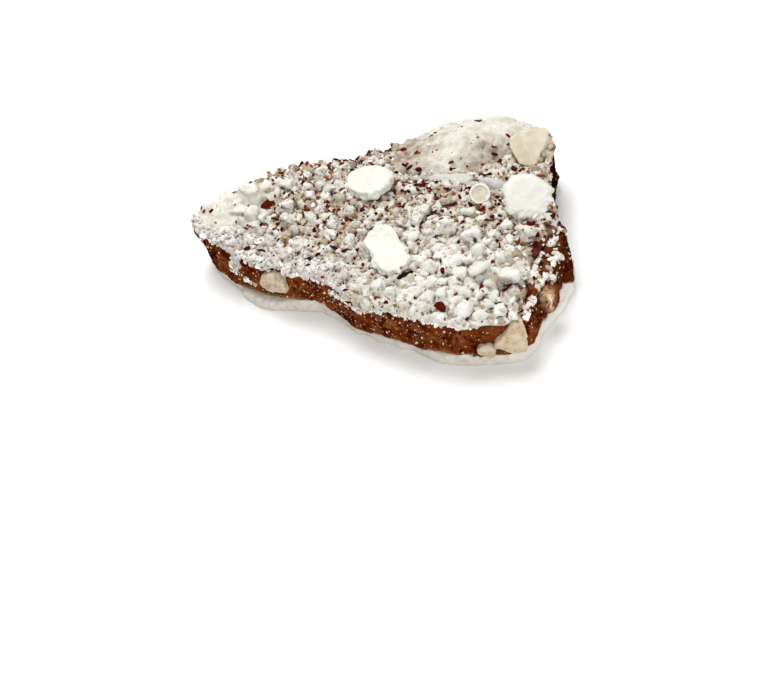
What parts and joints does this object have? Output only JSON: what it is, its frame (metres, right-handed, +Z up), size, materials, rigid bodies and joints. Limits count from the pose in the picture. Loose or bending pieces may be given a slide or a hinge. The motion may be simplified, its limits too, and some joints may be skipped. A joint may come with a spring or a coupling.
{
  "type": "white chocolate toffee",
  "caption": "Broken shard of almond toffee, coated with white chocolate underneath and with white chocolate and chopped almonds on top, lying flat.",
  "frame": {"origin": "middle of the shard's bounding box, on the surface it lies on", "axes": "+Z up; +X along the longest broken face, towards the blunt front corner; that face looks towards -Y"},
  "size_m": [0.0644, 0.0498, 0.0144],
  "materials": {
    "lower_white_chocolate": "satin white chocolate, smooth, light grey-cream, with a ragged light rim",
    "toffee": "glossy red-brown broken toffee with fine pale specks and a tan line at the lower seam",
    "upper_white_chocolate": "powdery white chocolate over chopped almonds, cream to lilac-grey, with beige crumbs and red-brown specks of almond skin",
    "white_chocolate_flake": "matt creamy white chocolate with a crumbled rim",
    "chopped_almond": "matt roasted almond, broken faces",
    "rear_almond": "matt pale almond kernel, with brown skin on its back"
  },
  "bodies": {
    "root": {"lower_coat": "lower_white_chocolate", "toffee_slab": "toffee", "upper_coat": "upper_white_chocolate", "flake_rear_left": "white_chocolate_flake", "flake_middle": "white_chocolate_flake", "flake_rear_right": "white_chocolate_flake", "almond_front_left": "chopped_almond", "almond_front_right": "chopped_almond", "almond_front_corner": "chopped_almond", "almond_right_face": "chopped_almond", "almond_rear": "rear_almond"}
  },
  "joints": []
}
